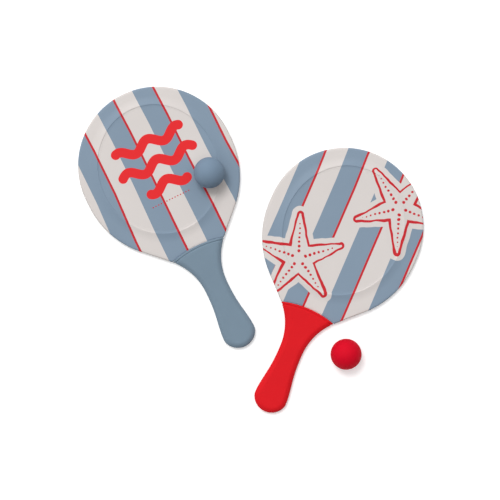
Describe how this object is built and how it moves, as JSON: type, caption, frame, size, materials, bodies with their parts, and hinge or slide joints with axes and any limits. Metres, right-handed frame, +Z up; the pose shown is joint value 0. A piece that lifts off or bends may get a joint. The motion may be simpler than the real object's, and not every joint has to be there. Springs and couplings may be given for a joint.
{
  "type": "beach paddle ball set",
  "caption": "Beach paddle ball set: moulded bats with round heads, striped print and rubber grips, laid flat with a rubber ball resting on one bat and another beside the other.",
  "frame": {"origin": "middle of the set's footprint, on the surface that it lies on", "axes": "+Z up, away from that surface; +X across the set, from the blue bat towards the red bat; +Y towards the heads of the bats"},
  "size_m": [0.468, 0.4416, 0.0538],
  "materials": {
    "blue_bat_print": "satin moulded plastic, printed with grey-blue and red stripes on an off-white ground",
    "red_bat_print": "satin moulded plastic, printed with grey-blue and red stripes and red starfish line drawings on an off-white ground",
    "blue_grip": "soft matt rubber, grey-blue",
    "red_grip": "soft matt rubber, bright red",
    "blue_ball": "matt rubber, grey-blue",
    "red_ball": "matt rubber, crimson"
  },
  "bodies": {
    "root": {"blue_bat_blade": "blue_bat_print", "blue_bat_grip": "blue_grip", "red_bat_blade": "red_bat_print", "red_bat_grip": "red_grip", "blue_ball": "blue_ball", "red_ball": "red_ball"}
  },
  "joints": []
}
